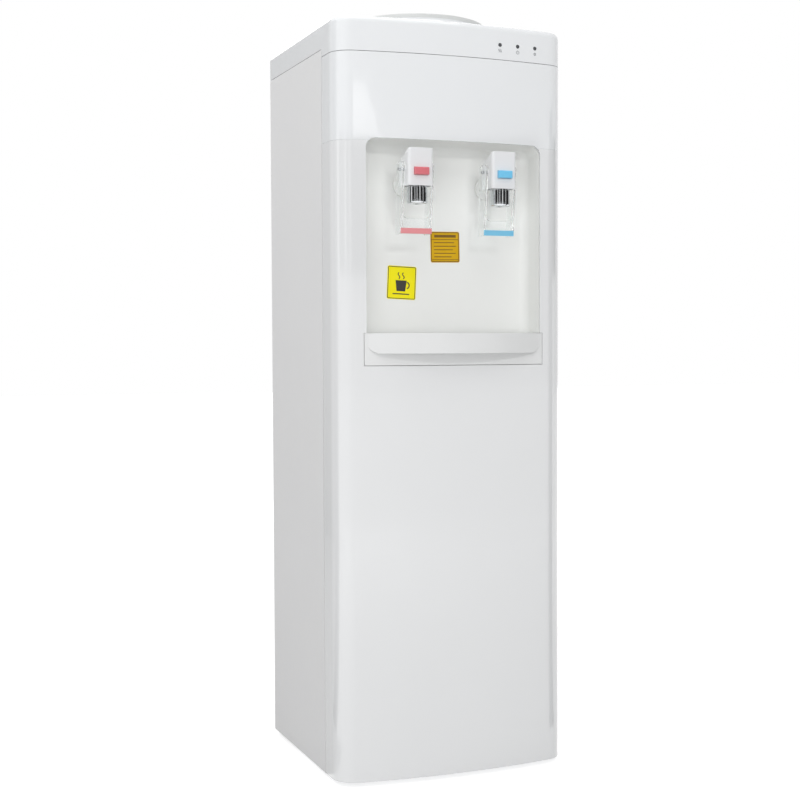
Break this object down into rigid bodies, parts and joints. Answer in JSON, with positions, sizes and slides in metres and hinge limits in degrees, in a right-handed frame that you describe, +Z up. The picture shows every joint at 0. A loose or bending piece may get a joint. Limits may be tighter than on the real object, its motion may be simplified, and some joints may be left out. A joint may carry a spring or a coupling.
{
  "type": "water dispenser",
  "caption": "Floor-standing hot and cold water dispenser: bowed white casing, bottle collar, niche with push-lever taps, pull-out drip tray, rear condenser.",
  "frame": {"origin": "on the floor under the middle of the whole object's box", "axes": "+Z up, front faces -Y, +X to the right as seen from the front"},
  "size_m": [0.32, 0.345, 0.991],
  "materials": {
    "white_gloss": "glossy moulded white",
    "white_matte": "fine matte white",
    "white_sheet": "white painted sheet",
    "grey_sheet": "galvanised sheet",
    "grey_plastic": "light grey moulded",
    "clear": "clear moulded plastic",
    "red": "red moulded",
    "blue": "blue moulded",
    "chrome": "bright plated",
    "steel": "drawn steel",
    "foam": "moulded foam",
    "copper": "drawn copper",
    "black_metal": "satin black paint",
    "black_plastic": "moulded black",
    "rubber": "moulded rubber",
    "silicone": "translucent silicone",
    "lens": "dark lens",
    "board": "board"
  },
  "bodies": {
    "cabinet": {"base_pan": "grey_sheet", "bottle_probe": "grey_plastic", "bottle_seat": "grey_plastic", "cold_hose": "silicone", "cold_nozzle": "chrome", "cold_stem_spring": "steel", "cold_tank": "steel", "cold_tank_jacket": "foam", "cold_tap_gasket": "rubber", "cold_tap_housing": "white_gloss", "cold_tap_nut": "white_matte", "cold_valve_body": "white_matte", "compressor": "black_metal", "compressor_grommets": "rubber", "condenser_brackets": "black_metal", "condenser_tube": "black_metal", "condenser_wires": "black_metal", "cord_gland": "black_plastic", "drain_hose": "silicone", "evaporator_coil": "copper", "feet": "rubber", "front_panel": "white_gloss", "header_panel": "white_gloss", "heater_band": "steel", "hot_hose": "silicone", "hot_nozzle": "chrome", "hot_stem_spring": "steel", "hot_tank": "steel", "hot_tap_gasket": "rubber", "hot_tap_housing": "white_gloss", "hot_tap_nut": "white_matte", "hot_valve_body": "white_matte", "indicator_board": "board", "indicator_lenses": "lens", "left_side_panel": "white_sheet", "link_hose": "silicone", "niche_liner": "white_matte", "rear_panel": "grey_sheet", "rear_screws": "steel", "right_side_panel": "white_sheet", "switch_bezel": "black_plastic", "tank_shelves": "grey_sheet", "top_cover": "white_gloss"},
    "hot_lever": {"hot_lever": "clear", "hot_lever_strip": "red", "hot_lever_shaft": "steel"},
    "cold_lever": {"cold_lever": "clear", "cold_lever_strip": "blue", "cold_lever_shaft": "steel"},
    "hot_valve": {"hot_valve_stem": "rubber"},
    "cold_valve": {"cold_valve_stem": "rubber"},
    "hot_button": {"hot_lock_button": "red"},
    "cold_button": {"cold_lock_button": "blue"},
    "drip_tray": {"drip_tray": "white_gloss"},
    "drip_grille": {"drip_grille": "grey_plastic"},
    "heating_switch": {"heating_rocker": "black_plastic"},
    "cooling_switch": {"cooling_rocker": "black_plastic"},
    "drain_cap": {"drain_cap": "black_plastic"}
  },
  "joints": [
    {"name": "hot_lever_push", "type": "hinge", "parent": "cabinet", "child": "hot_lever", "pos_m": [-0.0575, -0.143, 0.782], "axis": [1, 0, 0], "range_deg": [0, 12], "stiffness_Nm_per_rad": 0.25, "springref_deg": -11.46},
    {"name": "hot_stem_slide", "type": "slide", "parent": "cabinet", "child": "hot_valve", "axis": [0, 0, -1], "range_m": [0, 0.002], "deforming": ["hot_stem_spring"]},
    {"name": "hot_button_press", "type": "slide", "parent": "cabinet", "child": "hot_button", "axis": [0, 1, 0], "range_m": [0, 0.0025], "stiffness_N_per_m": 200, "springref_m": -0.002},
    {"name": "cold_lever_push", "type": "hinge", "parent": "cabinet", "child": "cold_lever", "pos_m": [0.0575, -0.143, 0.782], "axis": [1, 0, 0], "range_deg": [0, 12], "stiffness_Nm_per_rad": 0.25, "springref_deg": -11.46},
    {"name": "cold_stem_slide", "type": "slide", "parent": "cabinet", "child": "cold_valve", "axis": [0, 0, -1], "range_m": [0, 0.002], "deforming": ["cold_stem_spring"]},
    {"name": "cold_button_press", "type": "slide", "parent": "cabinet", "child": "cold_button", "axis": [0, 1, 0], "range_m": [0, 0.0025], "stiffness_N_per_m": 200, "springref_m": -0.002},
    {"name": "drip_tray_slide", "type": "slide", "parent": "cabinet", "child": "drip_tray", "axis": [0, -1, 0], "range_m": [0, 0.07]},
    {"name": "drip_grille_lift", "type": "slide", "parent": "drip_tray", "child": "drip_grille", "axis": [0, 0, 1], "range_m": [0, 0.06]},
    {"name": "heating_switch_rock", "type": "hinge", "parent": "cabinet", "child": "heating_switch", "pos_m": [-0.084, 0.1475, 0.88], "axis": [1, 0, 0], "range_deg": [0, 16]},
    {"name": "cooling_switch_rock", "type": "hinge", "parent": "cabinet", "child": "cooling_switch", "pos_m": [-0.056, 0.1475, 0.88], "axis": [1, 0, 0], "range_deg": [0, 16]},
    {"name": "drain_cap_turn", "type": "hinge", "parent": "cabinet", "child": "drain_cap", "pos_m": [-0.095, 0.16, 0.29], "axis": [0, 1, 0], "continuous": true}
  ],
  "couplings": [
    {"joint": "hot_stem_slide", "follows": "hot_lever_push", "m_per_rad": 0.009},
    {"joint": "cold_stem_slide", "follows": "cold_lever_push", "m_per_rad": 0.009}
  ]
}
